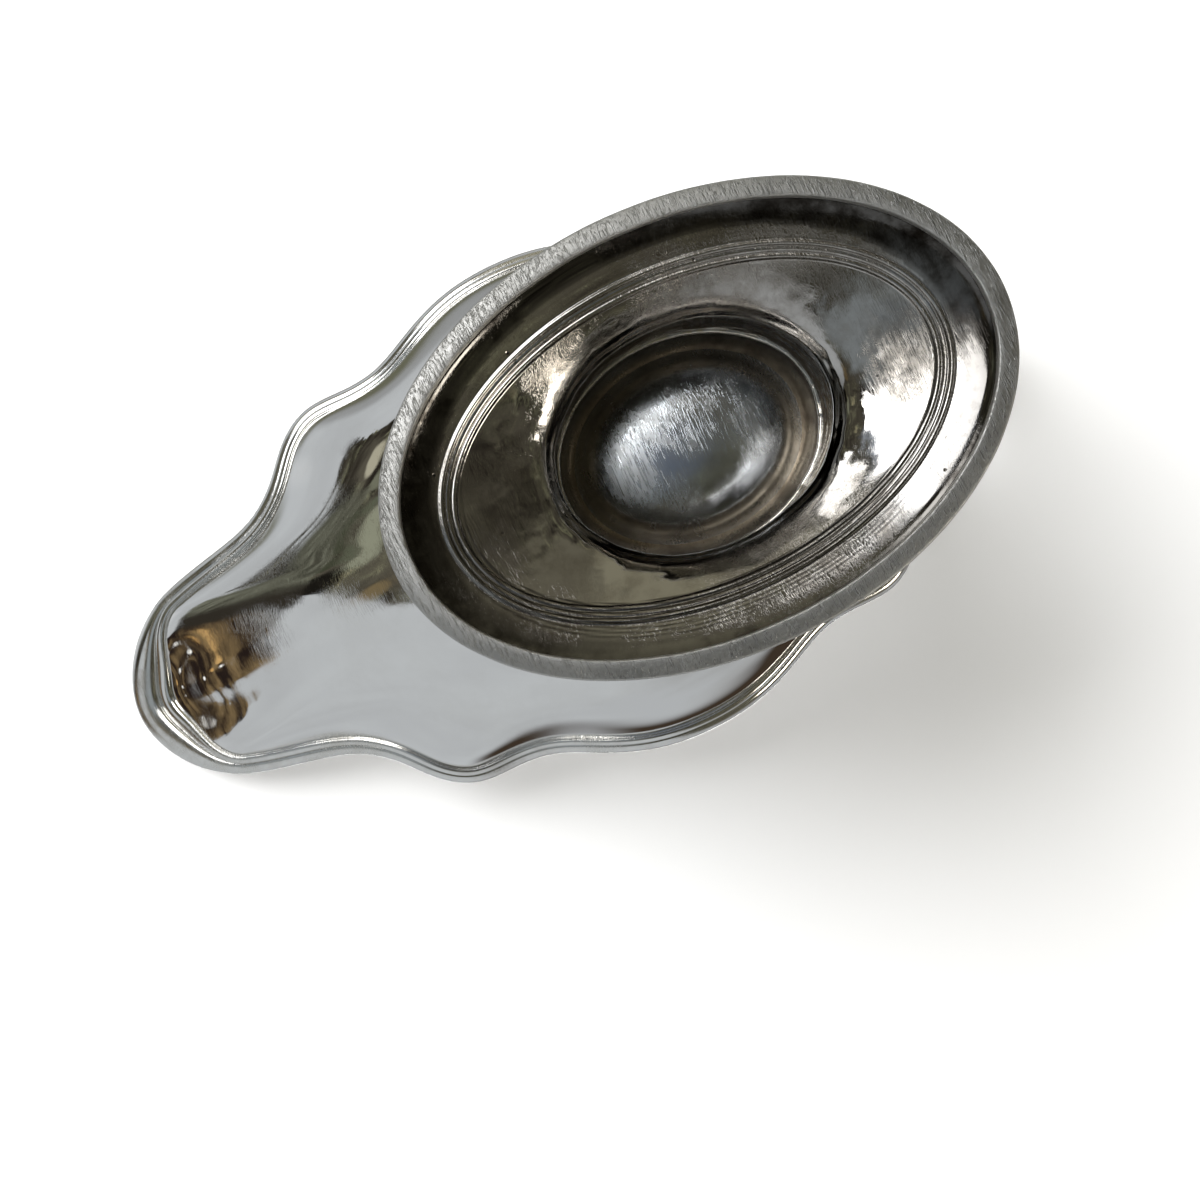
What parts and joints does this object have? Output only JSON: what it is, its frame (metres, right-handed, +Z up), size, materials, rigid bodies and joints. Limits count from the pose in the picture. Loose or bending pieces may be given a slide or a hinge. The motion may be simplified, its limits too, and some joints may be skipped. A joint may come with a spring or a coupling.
{
  "type": "sauce boat",
  "caption": "Silver sauce boat with a wavy reeded rim, a wide pouring lip, a scroll handle and a tall hollow oval foot.",
  "frame": {"origin": "centre of the foot, on the table plane", "axes": "+Z up, pouring lip towards -X, handle towards +X"},
  "size_m": [0.1773, 0.0942, 0.1118],
  "materials": {
    "polished_silver": "polished sterling silver with fine wear scratches",
    "border_silver": "polished reeded silver, darker in the grooves",
    "foot_silver": "spun silver, tarnished and brushed inside",
    "worn_silver": "flat ground ring, matt and scratched by standing",
    "handle_silver": "cast and polished silver"
  },
  "bodies": {
    "root": {"bowl": "polished_silver", "rim_border": "border_silver", "neck_collar": "foot_silver", "foot_shell": "foot_silver", "foot_base_ring": "worn_silver", "handle_scroll": "handle_silver", "handle_thumb_rest": "handle_silver", "handle_upper_mount": "handle_silver", "handle_lower_mount": "handle_silver"}
  },
  "joints": []
}
